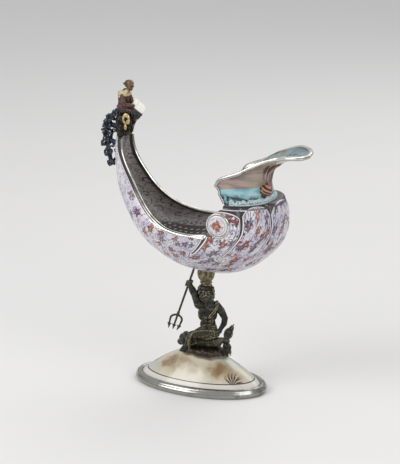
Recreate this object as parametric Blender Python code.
"""Nautilus cup in painted enamel and silver: an oval foot, a sea god riding a dolphin, and a shell-shaped bowl.

Metres, +Z up. X runs from the prow (-X) to the lip (+X), and Y across the bowl. The pieces are built round the
centre of the oval foot, and the whole cup is then moved so that the origin is the bottom centre of its box.
"""

import math

import bmesh
import bpy
from mathutils import Matrix, Vector

# Clearance left between neighbouring pieces, and the sheet that the enamelled work is raised from.
GAP = 0.0003
ENAMEL_WALL = 0.0016

# Oval foot: a silver rim bent from one moulded strip, and an enamelled dome seated on the rim's ledge.
FOOT_LENGTH = 0.1206
FOOT_WIDTH = 0.0698
RIM_HEIGHT = 0.0080
RIM_LEDGE_Z = 0.0050
RIM_LEDGE_IN = 0.0086
DOME_EDGE_IN = 0.0062
DOME_RISE = 0.0262
DOME_FULLNESS = 1.75
SEAM_ANGLE = 244.0
RIM_STATIONS = 36
DOME_STATIONS = 32
DOME_RINGS = 5
DOME_HOLE_CLEARANCE = 0.0009

# Stem: everything from the mound to the bowl is threaded on one vertical line.
STEM_X = 0.0050
STUD_RADIUS = 0.0018
MOUND_LENGTH = 0.0440
MOUND_WIDTH = 0.0260
MOUND_HEIGHT = 0.0016
PACKING_RADIUS = 0.0080
PACKING_THICKNESS = 0.0012
WASHER_RADIUS = 0.0075
WASHER_THICKNESS = 0.0010
NUT_RADIUS = 0.0045
NUT_HEIGHT = 0.0035
THREAD_END = 0.0012

# Dolphin, lying on the mound.
DOLPHIN_HEAD_X = -0.0135
DOLPHIN_TAIL_X = 0.0205
# Each row is a share of the way from head to tail, the body's height above the mound there, and its radius.
DOLPHIN = ((0.0, 0.0038, 0.0062), (0.25, 0.0038, 0.0052), (0.5, 0.0039, 0.0044), (0.8, 0.0056, 0.0035),
           (1.0, 0.0074, 0.0027))
SADDLE_RISE = 0.0030
FLUKE_LENGTH = 0.0185
FLUKE_WIDTH = 0.0085
FLUKE_THICKNESS = 0.0028

# Sea god, seated astride the dolphin, with his head turned to the front.
PELVIS_RISE = 0.0045
TORSO_HEIGHT = 0.0310
SHOULDER_SPAN = 0.0160
HEAD_RADIUS = 0.0060
HEAD_RISE = 0.0427
FACING = 26.0

# Trident, held head down in the drilled fist.
TRIDENT_RADIUS = 0.0010
TRIDENT_HEAD_WIDTH = 0.0100
PRONG_LENGTH = 0.0146
TRIDENT_LENGTH = 0.0460
TRIDENT_LEAN = 19.8
FIST_Y = -0.0065

# Gilt vase between the god's head and the bowl.
VASE_HEIGHT = 0.0130
VASE_TOP_RADIUS = 0.0077
VASE_NECK_RADIUS = 0.0048
VASE_SINK = 0.0010

# Bowl: a coil about the volute axis. Each pair is an angle in degrees in the XZ plane, counted from +X through +Z,
# and a radius or half width there: 151 is the tip of the prow, 270 the bottom and 380 the shoulder under the lip.
COIL_X = 0.0340
KEEL = (
    (150, 0.1264), (157, 0.1220), (164, 0.1166), (173, 0.1096), (182, 0.1004), (198, 0.0870),
    (216, 0.0727), (241, 0.0573), (268, 0.0488), (300, 0.0432), (320, 0.0417), (340, 0.0411), (360, 0.0409),
    (385, 0.0386),
)
GUNWALE = (
    (150, 0.1200), (157, 0.1108), (166, 0.0938), (174, 0.0812), (182, 0.0685), (191, 0.0522),
    (198, 0.0378), (206, 0.0260), (215, 0.0180), (235, 0.0122), (270, 0.0060), (385, 0.0040),
)
HALF_WIDTH = (
    (150, 0.0100), (161, 0.0125), (171, 0.0167), (182, 0.0250), (191, 0.0322),
    (198, 0.0360), (210, 0.0385), (240, 0.0385), (385, 0.0365),
)
TIP_ANGLE = 151.5
TURN_ANGLE = 268.0
END_ANGLE = 380.0
SECTION_POWER = 2.15
EDGE_RISE = 0.0128
# Lobes of the bulb: they slant over it, and their edges are counted along X on the keel. Below the volutes all
# edges but the first sweep towards the prow.
LOBE_DEPTH = 0.0024
LOBE_SLANT = 1.35
LOBE_EDGES = (-0.0270, 0.0070, 0.0490, 0.0990)
LOBE_SWEEP = 0.85
LOBE_SWEEP_FROM = 0.0070
LOBE_LOW = 0.0400
LOBE_HIGH = 0.0080
HULL_STATIONS = 28
HULL_STRIPS = 20

# Silver channel folded over the edges of the enamelled work.
CHANNEL_WALL = 0.0007
CHANNEL_DEPTH = 0.0015
CHANNEL_CROWN = 0.0010
GUNWALE_END_ANGLE = 226.0

# Volute medallions on both sides of the bowl, each in a silver ring.
VOLUTE_RADIUS = 0.0088
VOLUTE_THICKNESS = 0.0030
VOLUTE_BACK = 0.0030
VOLUTE_RING_WIRE = 0.0008

# Collar: the upright neck of the bowl, open to the front, with its back drawn out into a lip.
COLLAR_FRONT_X = 0.0350
COLLAR_BACK_X = 0.0640
COLLAR_HALF_WIDTH = 0.0260
COLLAR_FRONT_RISE = 0.0140
COLLAR_BACK_RISE = 0.0155
WAIST_FRONT_X = 0.0290
WAIST_BACK_X = 0.0605
WAIST_HALF_WIDTH = 0.0245
WAIST_FRONT_RISE = 0.0225
WAIST_BACK_RISE = 0.0325
LIP_FLARE = 3.0
# Rim of the collar from the middle of the lip to the front corner: place along the rim, then x, half width and
# height above the volute axis.
LIP = (
    (0.00, 0.0980, 0.0000, 0.0565), (0.12, 0.0955, 0.0115, 0.0570), (0.26, 0.0885, 0.0198, 0.0580),
    (0.42, 0.0790, 0.0240, 0.0575), (0.58, 0.0650, 0.0240, 0.0525), (0.78, 0.0470, 0.0270, 0.0430),
    (0.93, 0.0300, 0.0268, 0.0358), (1.00, 0.0258, 0.0262, 0.0300),
)
COLLAR_STATIONS = 22
COLLAR_RINGS = 6
SHOULDER_WALL = 0.0012
SHOULDER_CROWN = 0.0018
SHOULDER_RINGS = 3
BAND_HEIGHT = 0.0042
BAND_WALL = 0.0026
BAND_END_SHARE = 0.93

# Shell ornament behind the collar: ribs that run up under the lip, with a scroll beside their foot.
RIB_COUNT = 5
RIB_HINGE_STEPS = 3
RIB_RADIUS = 0.0016
RIB_FOOT_SPREAD = 0.0026
RIB_TOP_SPREAD = 0.0125
RIB_FOOT_SHARE = 0.26
RIB_TOP_SHARE = 0.84
SCROLL_RADIUS = 0.0056
SCROLL_Y = 0.0095
SCROLL_LEVEL_SHARE = 0.30

# Group on the tip of the prow: a clasp over the tip, foliage behind it, and a seated reader with a blank page.
CLASP_RISE = 0.0190
SEAT_RADIUS = 0.0068
READER_TORSO = 0.0185
READER_WAIST = 0.0052
READER_HEAD_RADIUS = 0.0043
SHAWL_RADIUS = 0.0062
PAGE_WIDTH = 0.0122
PAGE_HEIGHT = 0.0074
PAGE_THICKNESS = 0.0009
GILT_SCROLL_WIRE = 0.0011
GILT_SCROLL_RADIUS = 0.0032
FOLIAGE_WIRE = 0.0012
FOLIAGE_STALK = 0.0021
# Each row is a knot of the foliage: x and z from the middle of the tip, and the radius of its two curls.
FOLIAGE = (
    (-0.0068, 0.0180, 0.0024), (-0.0122, 0.0140, 0.0032), (-0.0156, 0.0075, 0.0040), (-0.0166, -0.0008, 0.0044),
    (-0.0160, -0.0090, 0.0042), (-0.0142, -0.0165, 0.0034), (-0.0122, -0.0255, 0.0026),
)
SCREW_RADIUS = 0.0009
SCREW_HEAD_RADIUS = 0.0019
SCREW_HEAD_THICKNESS = 0.0010
SCREW_ANGLE = 157.0
SCREW_LENGTH = 0.0060

# Fineness of the skin over the cast pieces.
VOXEL = 0.0007


def curve_value(stops, at, column=1):
    """Value at a place between stops, on a smooth curve through them."""
    last = len(stops) - 1
    i = max(0, min(last - 1, sum(1 for s in stops if s[0] <= at) - 1))
    x0, x1 = stops[i][0], stops[i + 1][0]
    y0, y1 = stops[i][column], stops[i + 1][column]
    before, after = stops[max(i - 1, 0)], stops[min(i + 2, last)]
    m0 = (y1 - before[column]) / (x1 - before[0]) * (x1 - x0)
    m1 = (after[column] - y0) / (after[0] - x0) * (x1 - x0)
    u = (at - x0) / (x1 - x0)
    return (
        (2 * u**3 - 3 * u**2 + 1) * y0 + (u**3 - 2 * u**2 + u) * m0
        + (3 * u**2 - 2 * u**3) * y1 + (u**3 - u**2) * m1
    )


def smoothstep(low, high, at):
    """0 below low, 1 above high, and a smooth rise between them."""
    u = max(0.0, min(1.0, (at - low) / (high - low)))
    return u * u * (3 - 2 * u)


def material(name, colour, roughness, metallic):
    """Principled material, made once for each name."""
    found = bpy.data.materials.get(name)
    if found:
        return found
    made = bpy.data.materials.new(name)
    made.use_nodes = True
    shader = made.node_tree.nodes["Principled BSDF"]
    shader.inputs["Base Color"].default_value = (*colour, 1)
    shader.inputs["Roughness"].default_value = roughness
    shader.inputs["Metallic"].default_value = metallic
    return made


def silver():
    return material("silver", (0.78, 0.77, 0.73), 0.22, 1.0)


def enamel():
    return material("white_enamel", (0.80, 0.76, 0.82), 0.25, 0.0)


def painted():
    return material("painted_enamel", (0.72, 0.68, 0.58), 0.25, 0.0)


def bronze():
    return material("dark_bronze", (0.05, 0.055, 0.05), 0.35, 0.8)


def gilt():
    return material("gilt", (0.62, 0.45, 0.16), 0.35, 0.9)


def leather():
    return material("leather", (0.20, 0.11, 0.06), 0.8, 0.0)


def ivory():
    return material("ivory_enamel", (0.75, 0.70, 0.58), 0.4, 0.0)


def dress():
    return material("red_enamel", (0.20, 0.08, 0.07), 0.35, 0.2)


def add_object(name, mesh, finish):
    """A new object with this mesh and finish."""
    made = bpy.data.objects.new(name, mesh)
    bpy.context.scene.collection.objects.link(made)
    if finish:
        mesh.materials.clear()
        mesh.materials.append(finish)
    return made


def mesh_of(name, bm):
    """The bmesh as a mesh with its faces pointing out."""
    bmesh.ops.recalc_face_normals(bm, faces=bm.faces[:])
    mesh = bpy.data.meshes.new(name)
    bm.to_mesh(mesh)
    bm.free()
    return mesh


def settle(obj):
    """Applies the object's modifiers, so that its mesh is what they made."""
    graph = bpy.context.evaluated_depsgraph_get()
    made = bpy.data.meshes.new_from_object(obj.evaluated_get(graph))
    obj.modifiers.clear()
    obj.data = made
    return obj


def keep_largest(obj):
    """Drops the crumbs that a cut leaves, so that one body stays."""
    bm = bmesh.new()
    bm.from_mesh(obj.data)
    left, groups = set(bm.verts), []
    while left:
        todo, group = [left.pop()], []
        while todo:
            vert = todo.pop()
            group.append(vert)
            for edge in vert.link_edges:
                other = edge.other_vert(vert)
                if other in left:
                    left.remove(other)
                    todo.append(other)
        groups.append(group)
    groups.sort(key=len)
    bmesh.ops.delete(bm, geom=[v for g in groups[:-1] for v in g], context="VERTS")
    bm.to_mesh(obj.data)
    bm.free()
    return obj


def shade(obj, angle=40.0):
    """Smooth shading, with edges sharper than the angle left sharp."""
    obj.data.shade_smooth()
    obj.data.set_sharp_from_angle(angle=math.radians(angle))
    return obj


def cut(obj, cutter):
    """Cuts the cutter's shape out of the object."""
    modifier = obj.modifiers.new("cut", "BOOLEAN")
    modifier.operation = "DIFFERENCE"
    modifier.solver = "EXACT"
    modifier.use_self = True
    modifier.object = cutter
    settle(obj)
    bpy.data.objects.remove(cutter)
    return keep_largest(obj)


def seat_on(obj, *neighbours, clearance=GAP * 1.5):
    """Cuts each neighbour's shape, grown by the clearance, out of the object, which then sits on it."""
    for neighbour in neighbours:
        grown = add_object("grown", bpy.data.objects[neighbour].data.copy(), None)
        swell = grown.modifiers.new("grow", "DISPLACE")
        swell.mid_level = 0.0
        swell.strength = clearance
        settle(grown)
        cut(obj, grown)
    return obj


def grid_mesh(name, rows):
    """Mesh of quads through rows of points."""
    bm = bmesh.new()
    verts = [[bm.verts.new(p) for p in row] for row in rows]
    for a, b in zip(verts, verts[1:]):
        for i in range(len(a) - 1):
            bm.faces.new((a[i], a[i + 1], b[i + 1], b[i]))
    return mesh_of(name, bm)


def sheet(name, rows, wall, finish, outward):
    """A sheet of even thickness, centred on the surface through the rows of points."""
    obj = add_object(name, grid_mesh(name, rows), finish)
    face = obj.data.polygons[len(obj.data.polygons) // 2]
    if face.normal.dot(outward(face.center)) < 0:
        obj.data.flip_normals()
    thick = obj.modifiers.new("wall", "SOLIDIFY")
    thick.thickness = wall
    thick.offset = 0.0
    thick.use_even_offset = True
    return shade(settle(obj), 50)


def swept(name, stations, profile, finish, closed=False):
    """A bar with one profile along stations of (point, across, up), with flat ends or joined round."""
    bm = bmesh.new()
    rings = [[bm.verts.new(p + across * a + up * b) for a, b in profile] for p, across, up in stations]
    count = len(profile)
    pairs = list(zip(rings, rings[1:])) + ([(rings[-1], rings[0])] if closed else [])
    for first, second in pairs:
        for i in range(count):
            j = (i + 1) % count
            bm.faces.new((first[i], first[j], second[j], second[i]))
    if not closed:
        bm.faces.new(rings[0])
        bm.faces.new(rings[-1])
    return shade(add_object(name, mesh_of(name, bm), finish))


def turned(name, profile, centre, finish, steps=28):
    """A turned piece about the vertical through centre: its profile runs upwards as (radius, height)."""
    bm = bmesh.new()
    verts = [bm.verts.new((r, 0, z)) for r, z in profile]
    edges = [bm.edges.new(pair) for pair in zip(verts, verts[1:])]
    if profile[0][0] > 0:
        edges.append(bm.edges.new((verts[-1], verts[0])))
    bmesh.ops.spin(
        bm, geom=verts + edges, axis=(0, 0, 1), cent=(0, 0, 0), angle=math.tau, steps=steps, use_merge=True
    )
    bmesh.ops.remove_doubles(bm, verts=bm.verts[:], dist=1e-6)
    bmesh.ops.translate(bm, verts=bm.verts[:], vec=centre)
    return shade(add_object(name, mesh_of(name, bm), finish))


def rod_cutter(start, end, radius, sides=16):
    """A plain round bar between two points, for cutting holes."""
    bm = bmesh.new()
    add_taper(bm, start, radius, end, radius, sides, round_ends=False)
    return add_object("rod_cutter", mesh_of("rod_cutter", bm), None)


def add_taper(bm, start, r0, end, r1, sides=14, round_ends=True):
    """Adds a tapered bar between two points, with a ball on each end."""
    start, end = Vector(start), Vector(end)
    along = end - start
    turn = along.to_track_quat("Z", "Y").to_matrix().to_4x4()
    place = Matrix.Translation((start + end) / 2) @ turn
    bmesh.ops.create_cone(
        bm, cap_ends=True, segments=sides, radius1=r0, radius2=r1, depth=along.length, matrix=place
    )
    if round_ends:
        add_ball(bm, start, (r0, r0, r0))
        add_ball(bm, end, (r1, r1, r1))


def add_ball(bm, centre, radii, turn=None, detail=2):
    """Adds an ellipsoid."""
    place = Matrix.Translation(centre) @ (turn or Matrix.Identity(4)) @ Matrix.Diagonal((*radii, 1))
    bmesh.ops.create_icosphere(bm, subdivisions=detail, radius=1, matrix=place)


def fused(name, bm, finish, faces, voxel=VOXEL):
    """One casting: the overlapping shapes in bm fused into one skin of about that many triangles.

    The fusing grid starts at the casting's own corner, so that a move of the casting doesn't change its skin.
    """
    corner = Vector([min(vert.co[axis] for vert in bm.verts) for axis in range(3)])
    bmesh.ops.translate(bm, verts=bm.verts[:], vec=-corner)
    obj = add_object(name, mesh_of(name, bm), finish)
    remesh = obj.modifiers.new("fuse", "REMESH")
    remesh.mode = "VOXEL"
    remesh.voxel_size = voxel
    relax = obj.modifiers.new("relax", "SMOOTH")
    relax.iterations = 2
    settle(obj)
    keep_largest(obj)
    thin = obj.modifiers.new("thin", "DECIMATE")
    thin.ratio = min(1.0, faces / (2 * len(obj.data.polygons)))
    thin.use_collapse_triangulate = True
    settle(obj).data.transform(Matrix.Translation(corner))
    return shade(obj, 70)


# Foot


def on_oval(offset, angle):
    """Point in plan on the foot's outline, moved in or out by offset, at an angle in degrees."""
    a = math.radians(angle)
    return Vector(((FOOT_LENGTH / 2 + offset) * math.cos(a), (FOOT_WIDTH / 2 + offset) * math.sin(a), 0))


def dome_height(x, y):
    """Height of the dome's upper face over a point in plan."""
    a, b = FOOT_LENGTH / 2 - DOME_EDGE_IN, FOOT_WIDTH / 2 - DOME_EDGE_IN
    out = min(1.0, math.hypot(x / a, y / b))
    return RIM_LEDGE_Z + GAP + ENAMEL_WALL + DOME_RISE * (1 - out**DOME_FULLNESS)


def build_foot():
    profile = [
        (-0.0046, 0), (-0.0014, 0), (-0.0005, 0.0012), (0, 0.0040), (-0.0010, 0.0058),
        (-0.0028, RIM_HEIGHT - 0.0004), (-0.0044, RIM_HEIGHT), (-0.0058, RIM_HEIGHT - 0.0006),
        (-0.0058, RIM_LEDGE_Z), (-RIM_LEDGE_IN, RIM_LEDGE_Z), (-RIM_LEDGE_IN, RIM_LEDGE_Z - 0.0012),
        (-0.0052, 0.0024),
    ]
    slit = math.degrees(GAP / FOOT_LENGTH)
    stations = []
    for i in range(RIM_STATIONS + 1):
        angle = SEAM_ANGLE + slit + i * (360 - 2 * slit) / RIM_STATIONS
        point = on_oval(0, angle)
        across = on_oval(1, angle) - point
        stations.append((point, across, Vector((0, 0, 1))))
    swept("foot_rim", stations, profile, silver())

    hole = STUD_RADIUS + DOME_HOLE_CLEARANCE
    rows = []
    for i in range(DOME_RINGS + 1):
        share = (i / DOME_RINGS) ** 1.3
        row = []
        for k in range(DOME_STATIONS):
            a = math.tau * k / DOME_STATIONS
            inner = Vector((STEM_X + hole * math.cos(a), hole * math.sin(a), 0))
            at = inner.lerp(on_oval(-DOME_EDGE_IN, math.degrees(a)), share)
            row.append((at.x, at.y, dome_height(at.x, at.y)))
        rows.append(row + row[:1])
    bm = bmesh.new()
    bm.from_mesh(grid_mesh("foot_dome", rows))
    bmesh.ops.remove_doubles(bm, verts=bm.verts[:], dist=1e-6)
    dome = add_object("foot_dome", mesh_of("foot_dome", bm), painted())
    if dome.data.polygons[0].normal.z < 0:
        dome.data.flip_normals()
    wall = dome.modifiers.new("wall", "SOLIDIFY")
    wall.thickness = ENAMEL_WALL
    wall.offset = -1
    shade(settle(dome))


def build_stem_fixings():
    """Packing, washer and nut on a stud, which clamp the mound to the dome."""
    under = dome_height(STEM_X, 0) - ENAMEL_WALL
    drop = under - dome_height(STEM_X, PACKING_RADIUS) + ENAMEL_WALL
    low = under - drop - PACKING_THICKNESS
    outline = [(0, low), (PACKING_RADIUS, low), (PACKING_RADIUS, low + PACKING_THICKNESS), (0, under)]
    packing = turned("foot_packing", outline, (STEM_X, 0, 0), leather(), 20)
    seat_on(packing, "foot_dome")
    low -= WASHER_THICKNESS + GAP
    high = low + WASHER_THICKNESS
    washer = turned("foot_washer", [(0, low), (WASHER_RADIUS, low), (WASHER_RADIUS, high), (0, high)],
                    (STEM_X, 0, 0), silver(), 20)
    low -= NUT_HEIGHT + GAP
    high = low + NUT_HEIGHT
    nut = turned("foot_nut", [(0, low), (NUT_RADIUS, low), (NUT_RADIUS, high), (0, high)],
                 (STEM_X, 0, 0), silver(), 6)
    end = low - THREAD_END
    top = stud_top()
    for piece in (packing, washer, nut):
        cut(piece, rod_cutter((STEM_X, 0, end), (STEM_X, 0, top), STUD_RADIUS + GAP))
    turned("foot_stud", [(0, end), (STUD_RADIUS, end), (STUD_RADIUS, top), (0, top)],
           (STEM_X, 0, 0), silver(), 14)


# Stem


def mound_top():
    return dome_height(STEM_X, 0) + GAP + MOUND_HEIGHT


def stud_top():
    """Height of the foot stud's upper end, inside the dolphin."""
    return dolphin_line(0.5).z + 0.0005


def build_mound():
    """Rocky ground with a hewn edge; its underside follows the dome."""
    bm = bmesh.new()
    sides = 24
    rings = ((0.0, 1.0), (0.55, 1.0), (0.85, 0.80), (1.0, 0.24))
    upper, lower = [], []
    for k in range(sides):
        a = math.tau * k / sides
        ripple = 1 + 0.035 * math.sin(5 * a + 1) + 0.03 * math.sin(11 * a)
        x = STEM_X - 0.002 + MOUND_LENGTH / 2 * ripple * math.cos(a)
        y = MOUND_WIDTH / 2 * ripple * math.sin(a)
        row = []
        for share, lift in rings[1:]:
            px, py = STEM_X + (x - STEM_X) * share, y * share
            floor = dome_height(px, py) + GAP
            bump = 0.0005 * math.sin(7 * a + 9 * share)
            row.append(bm.verts.new((px, py, floor + (mound_top() + bump - floor) * lift)))
        upper.append(row)
        under = [(STEM_X + (x - STEM_X) * s, y * s) for s in (0.12, 0.55, 0.98)]
        lower.append([bm.verts.new((px, py, dome_height(px, py) + 1.5 * GAP)) for px, py in under])
    peak = bm.verts.new((STEM_X, 0, mound_top()))
    for k in range(sides):
        j = (k + 1) % sides
        bm.faces.new((peak, upper[k][0], upper[j][0]))
        for r in (0, 1):
            bm.faces.new((upper[k][r], upper[k][r + 1], upper[j][r + 1], upper[j][r]))
            bm.faces.new((lower[k][r], lower[j][r], lower[j][r + 1], lower[k][r + 1]))
        bm.faces.new((upper[k][2], lower[k][2], lower[j][2], upper[j][2]))
    bm.faces.new([row[0] for row in lower])
    mound = shade(add_object("mound", mesh_of("mound", bm), bronze()))
    low = dome_height(STEM_X, 0)
    cut(mound, rod_cutter((STEM_X, 0, low - 0.004), (STEM_X, 0, low + 0.006), STUD_RADIUS + GAP))


def dolphin_line(share):
    """Point on the dolphin's back line, from the snout at 0 to the tail root at 1."""
    x = DOLPHIN_HEAD_X + (DOLPHIN_TAIL_X - DOLPHIN_HEAD_X) * share
    return Vector((x, 0.0005, mound_top() + curve_value(DOLPHIN, share)))


def build_dolphin():
    bm = bmesh.new()
    shares = [i / 6 for i in range(7)]
    for share, after in zip(shares, shares[1:]):
        girth, next_girth = curve_value(DOLPHIN, share, 2), curve_value(DOLPHIN, after, 2)
        add_taper(bm, dolphin_line(share), girth, dolphin_line(after), next_girth)
    head = dolphin_line(0)
    girth = curve_value(DOLPHIN, 0, 2)
    snout = head + Vector((-0.0054, -0.0020, -0.0042))
    add_taper(bm, head, girth * 0.80, snout, girth * 0.36)
    brow = head + Vector((-0.0010, -0.0032, 0.0022))
    add_ball(bm, brow, (0.0032, 0.0030, 0.0032))
    for side in (-1, 1):
        fin = dolphin_line(0.35) + Vector((0, side * 0.0045, -0.0012))
        add_taper(bm, fin, 0.0017, fin + Vector((0.0045, side * 0.0040, 0.0004)), 0.0009)
    dolphin = fused("dolphin", bm, bronze(), 560)
    seat_on(bpy.data.objects["mound"], "dolphin")
    low = dome_height(STEM_X, 0)
    cut(dolphin, rod_cutter((STEM_X, 0, low - 0.004), (STEM_X, 0, stud_top() + GAP), STUD_RADIUS + GAP))


def build_flukes():
    """Tail of two leaf-shaped flukes, pinned to the end of the dolphin."""
    root = dolphin_line(1)
    bm = bmesh.new()
    for lean, length in ((60, FLUKE_LENGTH), (-63, FLUKE_LENGTH * 0.74)):
        a = math.radians(lean)
        along = Vector((math.cos(a), 0, math.sin(a)))
        turn = Matrix.Rotation(-a, 4, "Y")
        middle = root + Vector((0.0012, 0, 0)) + along * (length * 0.50)
        add_ball(bm, middle, (length / 2, FLUKE_THICKNESS / 2, FLUKE_WIDTH / 2), turn)
    add_taper(bm, root, 0.0025, root + Vector((0.0045, 0, 0)), 0.0024)
    flukes = fused("dolphin_flukes", bm, bronze(), 340)
    return seat_on(flukes, "dolphin", "mound")


def stem_point(x, y, z):
    """Point of the sea god: x across his shoulders (+ to his left), y towards his back, z above his seat."""
    a = math.radians(FACING)
    seat = dolphin_line(0.5).z + SADDLE_RISE
    right = Vector((math.cos(a), math.sin(a), 0))
    back = Vector((-math.sin(a), math.cos(a), 0))
    return Vector((STEM_X + 0.0015, 0, seat + z)) + right * x + back * y


def head_centre():
    return stem_point(-0.0015, 0, HEAD_RISE)


def head_top():
    return head_centre().z + HEAD_RADIUS * 1.12


def fist_point():
    """Middle of the fist that holds the trident."""
    return Vector((STEM_X - 0.0130, FIST_Y, head_top() + 0.0007))


def build_sea_god():
    bm = bmesh.new()
    half = SHOULDER_SPAN / 2
    pelvis = stem_point(0.001, 0, PELVIS_RISE)
    chest = stem_point(-0.0005, 0, PELVIS_RISE + TORSO_HEIGHT * 0.68)
    turn = Matrix.Rotation(math.radians(FACING), 4, "Z")
    add_ball(bm, pelvis, (0.0076, 0.0058, 0.0060), turn)
    add_ball(bm, stem_point(0.0000, 0, PELVIS_RISE + TORSO_HEIGHT * 0.34), (0.0068, 0.0052, 0.0078), turn)
    add_ball(bm, chest, (0.0078, 0.0056, 0.0080), turn)
    add_taper(bm, stem_point(-half + 0.002, 0, TORSO_HEIGHT - 0.001), 0.0038,
              stem_point(half - 0.002, 0, TORSO_HEIGHT - 0.001), 0.0038)
    add_taper(bm, stem_point(-0.001, 0, TORSO_HEIGHT), 0.0034, head_centre(), 0.0034)
    add_ball(bm, head_centre(), (HEAD_RADIUS, HEAD_RADIUS * 1.05, HEAD_RADIUS * 1.12), turn)
    origin = stem_point(0, 0, 0)
    hair = head_centre() + stem_point(0, 0.0012, -0.0002) - origin
    add_ball(bm, hair, (HEAD_RADIUS * 1.26, HEAD_RADIUS, HEAD_RADIUS * 1.02), turn)
    beard = head_centre() + stem_point(0, -0.0038, -0.0058) - origin
    add_ball(bm, beard, (0.0044, 0.0034, 0.0048), turn)
    knee_right = stem_point(-0.0135, -0.0045, 0.0050)
    add_taper(bm, stem_point(-0.003, -0.001, 0.0040), 0.0048, knee_right, 0.0037)
    foot_right = stem_point(-0.0188, -0.0004, -0.0090)
    add_taper(bm, knee_right, 0.0035, foot_right, 0.0021)
    add_taper(bm, foot_right, 0.0020, foot_right + Vector((-0.0030, -0.0030, -0.0004)), 0.0016)
    knee_left = stem_point(-0.0050, 0.0105, 0.0040)
    add_taper(bm, stem_point(0.002, 0.002, 0.0040), 0.0048, knee_left, 0.0036)
    add_taper(bm, knee_left, 0.0033, knee_left + Vector((-0.001, 0.001, -0.0105)), 0.0020)
    god = fused("sea_god", bm, bronze(), 960)
    return seat_on(god, "dolphin", "mound")


def trident_axis():
    """Direction from the butt of the trident to its prongs."""
    lean = math.radians(TRIDENT_LEAN)
    return Vector((-math.sin(lean), 0, -math.cos(lean)))


def build_arms():
    shoulder = stem_point(-SHOULDER_SPAN / 2, 0, TORSO_HEIGHT - 0.001)
    fist = fist_point()
    elbow = Vector((fist.x + 0.0046, FIST_Y + 0.0004, fist.z - 0.0090))
    bm = bmesh.new()
    add_taper(bm, shoulder, 0.0041, elbow, 0.0034)
    add_taper(bm, elbow, 0.0034, fist, 0.0022)
    add_ball(bm, fist, (0.0030, 0.0030, 0.0032))
    raised = fused("raised_arm", bm, bronze(), 280)
    seat_on(raised, "sea_god")
    axis = trident_axis()
    cut(raised, rod_cutter(fist - axis * 0.009, fist + axis * 0.009, TRIDENT_RADIUS + GAP, 12))

    shoulder = stem_point(SHOULDER_SPAN / 2, 0, TORSO_HEIGHT - 0.001)
    elbow = stem_point(0.0152, 0.0005, 0.0180)
    hand = stem_point(0.0100, -0.0016, 0.0072)
    bm = bmesh.new()
    add_taper(bm, shoulder, 0.0040, elbow, 0.0030)
    add_taper(bm, elbow, 0.0030, hand, 0.0020)
    add_ball(bm, hand, (0.0026, 0.0024, 0.0026))
    lowered = fused("lowered_arm", bm, bronze(), 270)
    seat_on(lowered, "sea_god")


def build_trident():
    axis = trident_axis()
    fist = fist_point()
    room = min(
        bpy.data.objects["hull"].ray_cast(fist + Vector((TRIDENT_RADIUS * c, TRIDENT_RADIUS * d, 0)), -axis)[1].z
        for c in (-1, 0, 1) for d in (-1, 0, 1)
    )
    corner = TRIDENT_RADIUS * math.tan(math.radians(TRIDENT_LEAN))
    butt = fist - axis * ((room - fist.z - GAP) / abs(axis.z) - corner)
    fork = butt + axis * TRIDENT_LENGTH
    front = Vector((math.sin(math.radians(FACING)), -math.cos(math.radians(FACING)), 0))
    side = axis.cross(front).normalized()
    half = TRIDENT_HEAD_WIDTH / 2
    bm = bmesh.new()
    barb = fork + axis * PRONG_LENGTH * 0.74
    shaft_end = fork + axis * PRONG_LENGTH * 0.78
    add_taper(bm, butt, TRIDENT_RADIUS, shaft_end, TRIDENT_RADIUS * 0.85, 10, round_ends=False)
    add_taper(bm, barb, 0.0012, fork + axis * PRONG_LENGTH, 0.0001, 8, round_ends=False)
    steps = 6
    for sign in (-1, 1):
        last = fork
        for k in range(1, steps + 1):
            a = math.pi / 2 * k / steps
            out = half * math.sin(a) * sign
            down = half * (1 - math.cos(a)) * 0.85
            here = fork + side * out + axis * down
            add_taper(bm, last, TRIDENT_RADIUS * 0.9, here, TRIDENT_RADIUS * 0.9, 8, round_ends=False)
            add_ball(bm, here, (TRIDENT_RADIUS * 0.9,) * 3, detail=1)
            last = here
        tip = fork + side * half * 0.72 * sign + axis * PRONG_LENGTH
        neck = last.lerp(tip, 0.72)
        add_taper(bm, last, TRIDENT_RADIUS * 0.9, neck, TRIDENT_RADIUS * 0.75, 8, round_ends=False)
        add_taper(bm, neck, 0.0012, tip, 0.0001, 8, round_ends=False)
    return fused("trident", bm, bronze(), 520, voxel=0.0003)


# Bowl


def hull_width(angle):
    return curve_value(HALF_WIDTH, angle)


def coil_radius(angle, share):
    """Distance of the hull's middle surface from the volute axis: share is 0 at the keel and 1 at the edge."""
    inner = curve_value(GUNWALE, angle)
    across = math.pi / 2 * min(1.0, abs(share))
    return inner + (curve_value(KEEL, angle) - inner) * math.cos(across) ** (2 / SECTION_POWER)


def top_angle(share):
    """Angle at which the bulb's surface reaches its level top edge."""
    radius = coil_radius(END_ANGLE, share)
    return 360 + math.degrees(math.asin(min(1.0, EDGE_RISE / radius)))


def hull_point(angle, share):
    """Point on the hull's middle surface: share is 0 at the keel and -1 or 1 at the edges."""
    turned_by = angle
    if angle > TURN_ANGLE:
        turned_by += (angle - TURN_ANGLE) / (END_ANGLE - TURN_ANGLE) * (top_angle(share) - END_ANGLE)
    radius = coil_radius(min(angle, END_ANGLE), share)
    out = math.sin(math.pi / 2 * min(1.0, abs(share))) ** (2 / SECTION_POWER)
    t = math.radians(turned_by)
    flat = Vector((radius * math.cos(t), math.copysign(hull_width(angle) * out, share), radius * math.sin(t)))
    place = Vector((COIL_X + flat.x, flat.y, coil_height() + flat.z))
    away = Vector((flat.x, flat.y * 1.3, flat.z)).normalized()
    fade = smoothstep(-LOBE_LOW, -LOBE_HIGH, flat.z) * smoothstep(VOLUTE_RADIUS, VOLUTE_RADIUS * 2, radius)
    return place + away * (LOBE_DEPTH * fade * lobe_share(place))


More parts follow.
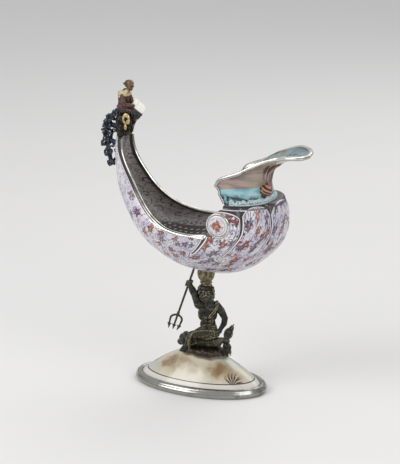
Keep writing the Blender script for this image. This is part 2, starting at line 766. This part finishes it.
def lobe_share(place):
    """1 on the crown of a lobe and 0 in the valleys between lobes."""
    at = place.x - LOBE_SLANT * abs(place.y)
    sweep = LOBE_SWEEP * max(0.0, coil_height() - place.z - LOBE_SWEEP_FROM)
    edges = [LOBE_EDGES[0]] + [edge - sweep for edge in LOBE_EDGES[1:]]
    for low, high in zip(edges, edges[1:]):
        if low < at <= high:
            return math.sqrt(math.sin(math.pi * (at - low) / (high - low)))
    return 0.0


def edge_share():
    """Share at which the bulb's level top edge begins beside the volute."""
    low, high = 0.0, 1.0
    for _ in range(40):
        middle = (low + high) / 2
        if coil_radius(END_ANGLE, middle) > EDGE_RISE * 1.04:
            low = middle
        else:
            high = middle
    return low


def keel_drop_at_stem():
    """How far the outer face of the keel lies below the volute axis over the stem."""
    best = min(
        (abs(COIL_X + curve_value(KEEL, a / 4) * math.cos(math.radians(a / 4)) - STEM_X), a / 4)
        for a in range(4 * 225, 4 * 262)
    )
    angle = best[1]
    return -curve_value(KEEL, angle) * math.sin(math.radians(angle)) + ENAMEL_WALL / 2


def seat_height():
    """Top of the vase, on which the bowl rests."""
    return head_top() + VASE_HEIGHT


def coil_height():
    return seat_height() + GAP + keel_drop_at_stem()


def from_keel(centre):
    """Rough outward direction for a point on the bowl."""
    return Vector((centre.x - COIL_X, centre.y * 2, centre.z - coil_height()))


def edge_station(point, along, inside):
    """Station of a channel: the edge point, the sheet's normal there, and the way out of the sheet's edge."""
    along = along.normalized()
    out = -(inside - inside.dot(along) * along)
    out.normalize()
    return point, along.cross(out).normalized(), out


def channel_profile():
    """Section of the bar for the silver channel; the sheet's edge is cut out of it later."""
    outer = ENAMEL_WALL / 2 + GAP + CHANNEL_WALL
    return [
        (-outer, -CHANNEL_DEPTH), (-outer, CHANNEL_CROWN * 0.3), (-outer * 0.55, CHANNEL_CROWN),
        (outer * 0.55, CHANNEL_CROWN), (outer, CHANNEL_CROWN * 0.3), (outer, -CHANNEL_DEPTH),
    ]


def build_hull():
    rows = []
    for i in range(HULL_STATIONS + 1):
        angle = TIP_ANGLE + (END_ANGLE - TIP_ANGLE) * i / HULL_STATIONS
        rows.append([hull_point(angle, -1 + 2 * k / HULL_STRIPS) for k in range(HULL_STRIPS + 1)])
    hull = sheet("hull", rows, ENAMEL_WALL, enamel(), from_keel)
    low = seat_height()
    return cut(hull, rod_cutter((STEM_X, 0, low - 0.003), (STEM_X, 0, low + 0.006), STUD_RADIUS + GAP))


def build_gunwales():
    for name, sign in (("gunwale_near", -1), ("gunwale_far", 1)):
        stations, count = [], 20
        for i in range(count + 1):
            angle = TIP_ANGLE + (GUNWALE_END_ANGLE - TIP_ANGLE) * i / count
            point = hull_point(angle, sign)
            along = hull_point(angle + 0.5, sign) - hull_point(angle - 0.5, sign)
            inside = hull_point(angle, sign * 0.97) - point
            stations.append(edge_station(point, along, inside))
        seat_on(swept(name, stations, channel_profile(), silver()), "hull")


def build_volutes():
    for name, sign in (("near", -1), ("far", 1)):
        face = sign * (hull_width(END_ANGLE) + ENAMEL_WALL / 2 + GAP)
        turn = Matrix.Rotation(math.radians(-90 * sign), 4, "X")
        place = Matrix.Translation((COIL_X, face, coil_height())) @ turn
        dome = [
            (0, -VOLUTE_BACK), (VOLUTE_RADIUS, -VOLUTE_BACK), (VOLUTE_RADIUS, VOLUTE_THICKNESS * 0.4),
            (VOLUTE_RADIUS * 0.8, VOLUTE_THICKNESS * 0.8), (VOLUTE_RADIUS * 0.4, VOLUTE_THICKNESS),
            (0, VOLUTE_THICKNESS),
        ]
        boss = turned("volute_" + name, dome, (0, 0, 0), enamel(), 20)
        boss.data.transform(place)
        seat_on(boss, "hull")
        inner = VOLUTE_RADIUS + GAP
        wire = VOLUTE_RING_WIRE
        ring = turned(
            "volute_ring_" + name,
            [(inner, -wire), (inner + 2 * wire, -wire), (inner + 2 * wire, wire * 1.4),
             (inner + wire, wire * 2.2), (inner, wire * 1.6)],
            (0, 0, 0), silver(), 24,
        )
        ring.data.transform(place)
        seat_on(ring, "hull")


def u_point(front_x, back_x, half_width, share):
    """Point in plan on a U that is open to the front: share is 0 at the back and -1 or 1 at the front ends."""
    a = math.pi / 2 * abs(share)
    x = front_x + (back_x - front_x) * math.cos(a) ** 0.9
    return x, math.copysign(half_width * math.sin(a) ** 0.75, share)


def collar_foot(share):
    x, y = u_point(COLLAR_FRONT_X, COLLAR_BACK_X, COLLAR_HALF_WIDTH, share)
    level = (x - COLLAR_FRONT_X) / (COLLAR_BACK_X - COLLAR_FRONT_X)
    rise = COLLAR_FRONT_RISE + (COLLAR_BACK_RISE - COLLAR_FRONT_RISE) * level
    return Vector((x, y, coil_height() + rise))


def collar_waist(share):
    x, y = u_point(WAIST_FRONT_X, WAIST_BACK_X, WAIST_HALF_WIDTH, share)
    level = (x - WAIST_FRONT_X) / (WAIST_BACK_X - WAIST_FRONT_X)
    rise = WAIST_FRONT_RISE + (WAIST_BACK_RISE - WAIST_FRONT_RISE) * level
    return Vector((x, y, coil_height() + rise))


def collar_rim_point(share):
    at = abs(share)
    y = math.copysign(curve_value(LIP, at, 2), share)
    return Vector((curve_value(LIP, at, 1), y, coil_height() + curve_value(LIP, at, 3)))


def collar_point(share, up):
    """Point on the collar's middle surface: up runs from 0 at the foot through the waist to 1 at the rim."""
    foot, waist, rim = collar_foot(share), collar_waist(share), collar_rim_point(share)
    if up < 0.5:
        return foot.lerp(waist, smoothstep(0, 1, up * 2) * 0.5 + up)
    rise = (up - 0.5) * 2
    point = waist.lerp(rim, rise**LIP_FLARE)
    point.z = waist.z + (rim.z - waist.z) * rise
    return point


def collar_shares(count):
    """Places round the U, closer together at the back where it bends most."""
    return [math.copysign(abs(s) ** 1.15, s) for s in (-1 + 2 * k / count for k in range(count + 1))]


def from_collar(centre):
    return Vector((centre.x - 0.045, centre.y * 2, 0))


def build_collar():
    shares = collar_shares(COLLAR_STATIONS)
    start = GAP / 0.02
    levels = [start + (1 - start) * i / COLLAR_RINGS for i in range(COLLAR_RINGS + 1)]
    rows = [[collar_point(s, up) for s in shares] for up in levels]
    sheet("collar", rows, ENAMEL_WALL, painted(), from_collar)

    path = [(-1, up / 6) for up in range(1, 6)]
    path += [(s, 1) for s in collar_shares(24)]
    path += [(1, 1 - up / 6) for up in range(1, 6)]
    points = [collar_point(s, up) for s, up in path]
    stations = []
    for i, (share, up) in enumerate(path):
        along = points[min(i + 1, len(points) - 1)] - points[max(i - 1, 0)]
        inside = collar_point(share * 0.9, max(0.0, up - 0.06)) - points[i]
        if abs(share) == 1 and up < 1:
            inside = collar_point(share * 0.9, up) - points[i]
        elif abs(share) < 1:
            inside = collar_point(share, 0.94) - points[i]
        stations.append(edge_station(points[i], along, inside))
    seat_on(swept("collar_rim", stations, channel_profile(), silver()), "collar", clearance=GAP * 1.9)


def build_shoulder():
    """Silver shoulder between the lobes of the hull and the foot of the collar."""
    rows = []
    for i in range(SHOULDER_RINGS + 1):
        up = i / SHOULDER_RINGS
        row = []
        for s in collar_shares(COLLAR_STATIONS):
            outer = hull_point(END_ANGLE, s * edge_share()) + Vector((0, 0, SHOULDER_WALL / 2 + GAP))
            inner = collar_foot(s) - Vector((0, 0, SHOULDER_WALL / 2))
            row.append(outer.lerp(inner, up) + Vector((0, 0, SHOULDER_CROWN * math.sin(math.pi * up**0.6))))
        rows.append(row)
    shoulder = sheet("shoulder", rows, SHOULDER_WALL, silver(), lambda centre: Vector((0.2, 0, 1)))
    volutes = ("volute_near", "volute_far", "volute_ring_near", "volute_ring_far")
    return seat_on(shoulder, "hull", "collar", *volutes)


def build_band():
    """Relief band round the outside of the collar's foot."""
    count = 16
    stations = []
    for i in range(count + 1):
        share = (-1 + 2 * i / count) * BAND_END_SHARE
        point = collar_point(share, 0.06)
        along = (collar_point(share + 0.02, 0.06) - collar_point(share - 0.02, 0.06)).normalized()
        stations.append((point, along.cross(Vector((0, 0, 1))).normalized(), Vector((0, 0, 1))))
    profile = [(0, -0.001), (BAND_WALL, -0.001), (BAND_WALL * 0.9, 0.0008),
               (BAND_WALL * 0.6, BAND_HEIGHT * 0.6), (BAND_WALL * 0.45, BAND_HEIGHT), (0, BAND_HEIGHT)]
    return seat_on(swept("collar_band", stations, profile, enamel()), "collar", "shoulder")


def collar_skin(share, up, out):
    """Point outside the collar's middle surface by a distance."""
    point = collar_point(share, up)
    across = collar_point(share + 0.01, up) - collar_point(share - 0.01, up)
    rise = collar_point(share, min(1, up + 0.01)) - collar_point(share, up - 0.01)
    return point + across.cross(rise).normalized() * out


def share_at(y):
    """Share round the collar's foot at which its half width is y."""
    return math.copysign(math.asin((abs(y) / COLLAR_HALF_WIDTH) ** (1 / 0.75)) * 2 / math.pi, y)


def build_ribs():
    """Shell ribs on the back of the collar, spreading as they rise, and a scroll beside their foot."""
    bm = bmesh.new()
    steps = 7
    hinge = []
    for k in range(RIB_COUNT):
        side = -1 + 2 * k / (RIB_COUNT - 1)
        last = None
        for i in range(steps + 1):
            up = RIB_FOOT_SHARE + (RIB_TOP_SHARE - RIB_FOOT_SHARE) * i / steps
            width = RIB_RADIUS * (0.75 + 0.30 * i / steps)
            spread = RIB_FOOT_SPREAD + (RIB_TOP_SPREAD - RIB_FOOT_SPREAD) * (i / steps) ** 1.5
            here = collar_skin(share_at(side * spread), up, ENAMEL_WALL / 2 + GAP + width * 0.3)
            if last:
                add_taper(bm, last[0], last[1], here, width, 8)
            if i < RIB_HINGE_STEPS:
                hinge.append((here, width))
            last = (here, width)
    for (low, width), (high, next_width) in zip(hinge, hinge[RIB_HINGE_STEPS:]):
        add_taper(bm, low, width, high, next_width, 8)
    ribs = fused("shell_ribs", bm, gilt(), 380)
    seat_on(ribs, "collar", "collar_band")
    bm = bmesh.new()
    out = ENAMEL_WALL / 2 + GAP + SCROLL_RADIUS * 0.35
    middle = collar_skin(share_at(-SCROLL_Y), SCROLL_LEVEL_SHARE, out)
    add_ball(bm, middle, (SCROLL_RADIUS, SCROLL_RADIUS * 0.8, SCROLL_RADIUS * 0.85))
    tip = collar_skin(share_at(-SCROLL_Y * 0.5), SCROLL_LEVEL_SHARE - 0.05, SCROLL_RADIUS * 0.5)
    add_taper(bm, middle, SCROLL_RADIUS * 0.7, tip, SCROLL_RADIUS * 0.35, 10)
    seat_on(fused("scroll_near", bm, gilt(), 180), "collar", "collar_band", "shell_ribs")


def build_vase():
    low = head_top()
    foot = low - VASE_SINK
    profile = [
        (0, foot), (VASE_NECK_RADIUS + 0.0004, foot), (VASE_NECK_RADIUS + 0.0004, low + 0.0012),
        (VASE_NECK_RADIUS, low + 0.0018), (VASE_TOP_RADIUS * 0.86, low + VASE_HEIGHT * 0.36),
        (VASE_TOP_RADIUS * 0.97, low + VASE_HEIGHT * 0.65), (VASE_TOP_RADIUS, low + VASE_HEIGHT),
        (VASE_TOP_RADIUS, low + VASE_HEIGHT + 0.004), (0, low + VASE_HEIGHT + 0.004),
    ]
    vase = turned("vase", profile, (STEM_X, 0, 0), gilt(), 24)
    seat_on(vase, "hull")
    cut(vase, rod_cutter((STEM_X, 0, foot - 0.001), (STEM_X, 0, low + 0.03), STUD_RADIUS + GAP))
    god = seat_on(bpy.data.objects["sea_god"], "vase")
    cut(god, rod_cutter((STEM_X, 0, head_top() - 0.0065), (STEM_X, 0, head_top() + 0.004), STUD_RADIUS + GAP))


def build_bowl_fixings():
    """Stud from the god's head into the bowl, with a packing ring, washer and domed nut inside the bowl."""
    floor = seat_height() + 2 * GAP + ENAMEL_WALL
    hole = STUD_RADIUS + GAP
    high = floor + 0.0022
    packing = turned("bowl_packing", [(hole, floor), (0.0055, floor), (0.0055, high), (hole, high)],
                     (STEM_X, 0, 0), leather(), 20)
    seat_on(packing, "hull")
    low = high + GAP
    high = low + 0.0008
    turned("bowl_washer", [(hole, low), (0.0048, low), (0.0048, high), (hole, high)],
           (STEM_X, 0, 0), silver(), 20)
    low = high + GAP
    top = low + 0.0032
    foot, end = head_top() - 0.0060, top - 0.0012
    turned("bowl_stud", [(0, foot), (STUD_RADIUS, foot), (STUD_RADIUS, end), (0, end)],
           (STEM_X, 0, 0), silver(), 16)
    profile = [(hole, low), (0.0036, low), (0.0036, low + 0.0014), (0.0026, top - 0.0002),
               (0.0012, top + 0.0010), (0, top + 0.0012), (0, top - 0.0008), (hole, top - 0.0008)]
    bm = bmesh.new()
    verts = [bm.verts.new((r, 0, z)) for r, z in profile]
    pairs = zip(verts, verts[1:] + verts[:1])
    edges = [bm.edges.new(pair) for pair in pairs if pair[0].co.x + pair[1].co.x > 0]
    bmesh.ops.spin(bm, geom=verts + edges, axis=(0, 0, 1), cent=(0, 0, 0), angle=math.tau, steps=18,
                   use_merge=True)
    bmesh.ops.remove_doubles(bm, verts=bm.verts[:], dist=1e-6)
    bmesh.ops.translate(bm, verts=bm.verts[:], vec=(STEM_X, 0, 0))
    shade(add_object("bowl_nut", mesh_of("bowl_nut", bm), silver()))


# Group on the prow


def tip_point(x, y, z):
    """Point near the tip of the prow: x towards the bowl, z up, both from the middle of the tip's section."""
    keel, edge = hull_point(TIP_ANGLE, 0), hull_point(TIP_ANGLE, 1)
    return Vector(((keel.x + edge.x) / 2 + x, y, (keel.z + edge.z) / 2 + z))


def build_clasp():
    """Casting that clasps the tip of the prow and carries the reader."""
    bm = bmesh.new()
    for y in (-0.0075, 0, 0.0075):
        low = tip_point(0.0010, y, -0.0040)
        add_taper(bm, low, 0.0036, tip_point(0.0015, y * 0.75, 0.0040), 0.0048, 10)
    seat = CLASP_RISE - SEAT_RADIUS
    add_taper(bm, tip_point(0.0005, 0, 0.0040), 0.0062, tip_point(0.0020, 0, seat), SEAT_RADIUS, 12)
    add_taper(bm, tip_point(0.0008, -0.0020, seat), SEAT_RADIUS,
              tip_point(0.0048, 0.0020, seat), SEAT_RADIUS * 0.9, 12)
    clasp = fused("prow_clasp", bm, bronze(), 300)
    return seat_on(clasp, "hull", "gunwale_near", "gunwale_far")


def build_foliage():
    """Curling foliage that climbs the back of the prow: one bent stalk with two curls at each of its knots."""
    bm = bmesh.new()
    for (x, z, _), (next_x, next_z, _) in zip(FOLIAGE, FOLIAGE[1:]):
        add_taper(bm, tip_point(x, 0, z), FOLIAGE_STALK, tip_point(next_x, 0, next_z), FOLIAGE_STALK * 0.9, 8)
    for i, (x, z, curl) in enumerate(FOLIAGE):
        for sign in (-1, 1):
            last = tip_point(x, 0, z)
            for k in range(7):
                a = math.radians(75 * i + 90 * sign + 45 * k * sign)
                reach = curl * (1 - 0.06 * k)
                here = tip_point(x + math.cos(a) * reach, sign * (0.0022 + 0.0001 * k), z + math.sin(a) * reach)
                add_taper(bm, last, FOLIAGE_WIRE, here, FOLIAGE_WIRE, 8)
                last = here
    for x, z, root_z in ((-0.0156, 0.0075, 0.0055), (-0.0160, -0.0060, -0.0090)):
        add_taper(bm, tip_point(x, 0, z), FOLIAGE_STALK, tip_point(-0.0040, 0, root_z), FOLIAGE_STALK * 1.25, 8)
    foliage = fused("prow_foliage", bm, bronze(), 1100)
    return seat_on(foliage, "prow_clasp", "hull")


def build_screw():
    """Screw from inside the prow, through the keel and into the foliage."""
    t = math.radians(SCREW_ANGLE)
    along = Vector((math.cos(t), 0, math.sin(t)))
    wall = hull_point(SCREW_ANGLE, 0)
    inside = bpy.data.objects["hull"].ray_cast(wall - along * 0.005, along)[1]
    turn = along.to_track_quat("Z", "Y").to_matrix()
    thick = SCREW_HEAD_THICKNESS
    head = SCREW_HEAD_RADIUS
    outline = ((0, -thick), (head * 0.7, -thick), (head, -thick * 0.3), (head, 0),
               (SCREW_RADIUS, 0), (SCREW_RADIUS, SCREW_LENGTH), (0, SCREW_LENGTH))
    screw = turned("prow_screw", outline, (0, 0, 0), silver(), 14)
    screw.data.transform(Matrix.Translation(inside) @ turn.to_4x4())
    for name in ("hull", "prow_foliage"):
        end = inside + along * (SCREW_LENGTH + 2 * GAP)
        cut(bpy.data.objects[name], rod_cutter(inside - along * 0.002, end, SCREW_RADIUS + GAP, 12))
    seat = rod_cutter(inside - along * 0.002, inside + along * GAP, SCREW_HEAD_RADIUS + GAP, 16)
    cut(bpy.data.objects["hull"], seat)


def build_reader():
    """Seated reader: dress with arms and lap, head, shawl and a blank page held in front."""
    seat = tip_point(0.0015, 0, CLASP_RISE + 0.0005)
    chest = seat + Vector((0.0002, 0, READER_TORSO * 0.72))
    neck = seat + Vector((0.0024, 0, READER_TORSO))
    knee = seat + Vector((0.0132, 0, -0.0004))
    hand = seat + Vector((0.0122, 0, READER_TORSO * 0.30))
    bm = bmesh.new()
    add_taper(bm, seat + Vector((-0.0008, 0, 0.0032)), READER_WAIST * 1.15, chest, READER_WAIST, 12)
    add_taper(bm, chest, READER_WAIST, neck - Vector((0, 0, 0.0012)), READER_WAIST * 0.55, 12)
    for sign in (-1, 1):
        y = sign * READER_WAIST * 0.55
        add_taper(bm, seat + Vector((0, y, 0.0016)), 0.0034, knee + Vector((0, y, 0)), 0.0024, 10)
        add_taper(bm, knee + Vector((0, y, 0)), 0.0024, knee + Vector((-0.0030, y, -0.0048)), 0.0019, 10)
        shoulder = chest + Vector((0.0005, sign * READER_WAIST * 0.95, 0.0014))
        elbow = seat + Vector((0.0028, sign * READER_WAIST * 1.25, READER_TORSO * 0.38))
        add_taper(bm, shoulder, 0.0019, elbow, 0.0017, 8)
        add_taper(bm, elbow, 0.0017, hand + Vector((-0.0024, sign * 0.0022, 0)), 0.0012, 8)
    reader = fused("reader", bm, dress(), 520, voxel=0.0005)
    seat_on(reader, "prow_clasp", "gunwale_near", "gunwale_far", "hull")
    bm = bmesh.new()
    middle = neck + Vector((0.0024, 0, READER_HEAD_RADIUS * 1.15))
    add_ball(bm, middle, (READER_HEAD_RADIUS, READER_HEAD_RADIUS * 0.9, READER_HEAD_RADIUS * 1.12))
    add_ball(bm, middle + Vector((-0.0014, 0, 0.0003)), (READER_HEAD_RADIUS * 0.9,) * 3)
    add_taper(bm, neck, 0.0019, middle, 0.0019, 8)
    seat_on(fused("reader_head", bm, ivory(), 260, voxel=0.0004), "reader")
    bm = bmesh.new()
    nape = neck + Vector((-0.0022, 0, -0.0008))
    for sign in (-1, 1):
        side = chest + Vector((-0.0012, sign * SHAWL_RADIUS * 0.8, 0.0020))
        add_taper(bm, nape, 0.0025, side, 0.0027, 10)
        add_taper(bm, side, 0.0024, chest + Vector((0.0022, sign * SHAWL_RADIUS * 0.35, 0.0026)), 0.0022, 10)
    add_taper(bm, nape, 0.0025, chest + Vector((-0.0044, 0, 0.0010)), 0.0027, 10)
    seat_on(fused("shawl", bm, ivory(), 220, voxel=0.0005), "reader", "reader_head")
    wide = Vector((0.83, 0.0, -0.56)).normalized()
    down = Vector((-0.56, -0.20, -0.83)).normalized()
    down = (down - wide * down.dot(wide)).normalized()
    face = wide.cross(down).normalized()
    middle = hand + Vector((0.0018, -0.0010, 0.0008))
    bm = bmesh.new()
    place = Matrix.Translation(middle) @ Matrix((wide, down, face)).transposed().to_4x4()
    sizes = Matrix.Diagonal((PAGE_WIDTH, PAGE_HEIGHT, PAGE_THICKNESS, 1))
    bmesh.ops.create_cube(bm, size=1, matrix=place @ sizes)
    page = shade(add_object("page", mesh_of("page", bm), ivory()), 30)
    seat_on(page, "reader")


def build_gilt_scroll():
    """Gilt C-scrolls on the two sides of the clasp."""
    for name, sign in (("gilt_scroll_near", -1), ("gilt_scroll_far", 1)):
        bm = bmesh.new()
        last = None
        count = 14
        middle = tip_point(0.0066, sign * 0.0058, CLASP_RISE * 0.78)
        for i in range(count + 1):
            share = i / count
            a = math.radians(-60 + 300 * share)
            lift = -0.0022 if share < 0.5 else 0.0
            here = middle + Vector((
                math.cos(a) * GILT_SCROLL_RADIUS * (1.15 - 0.45 * share), sign * 0.0005,
                math.sin(a) * GILT_SCROLL_RADIUS * 1.35 + lift * 0.5,
            ))
            if last:
                add_taper(bm, last, GILT_SCROLL_WIRE, here, GILT_SCROLL_WIRE, 8)
            last = here
        eye = middle + Vector((0, -sign * 0.0015, 0))
        add_taper(bm, middle, GILT_SCROLL_WIRE, eye, GILT_SCROLL_WIRE * 2.2, 10)
        seat_on(fused(name, bm, gilt(), 200, voxel=0.0004), "prow_clasp", "reader")


def centre_on_box():
    """Moves the whole cup so that the origin is the bottom centre of its box, and prints the move."""
    low, high = Vector((1e9,) * 3), Vector((-1e9,) * 3)
    pieces = [o for o in bpy.data.objects if o.type == "MESH"]
    for obj in pieces:
        for vert in obj.data.vertices:
            low = Vector(map(min, low, vert.co))
            high = Vector(map(max, high, vert.co))
    move = Vector((-(low.x + high.x) / 2, -(low.y + high.y) / 2, -low.z))
    for obj in pieces:
        obj.data.transform(Matrix.Translation(move))
    print("moved by", [round(v, 7) for v in move], "box", [round(v, 5) for v in high - low])


def main():
    for obj in list(bpy.data.objects):
        bpy.data.objects.remove(obj)
    build_foot()
    build_stem_fixings()
    build_mound()
    build_dolphin()
    build_flukes()
    build_sea_god()
    build_arms()
    build_hull()
    build_vase()
    build_trident()
    build_bowl_fixings()
    build_gunwales()
    build_volutes()
    build_collar()
    build_shoulder()
    build_band()
    build_ribs()
    build_clasp()
    build_foliage()
    build_screw()
    build_reader()
    build_gilt_scroll()
    centre_on_box()


main()
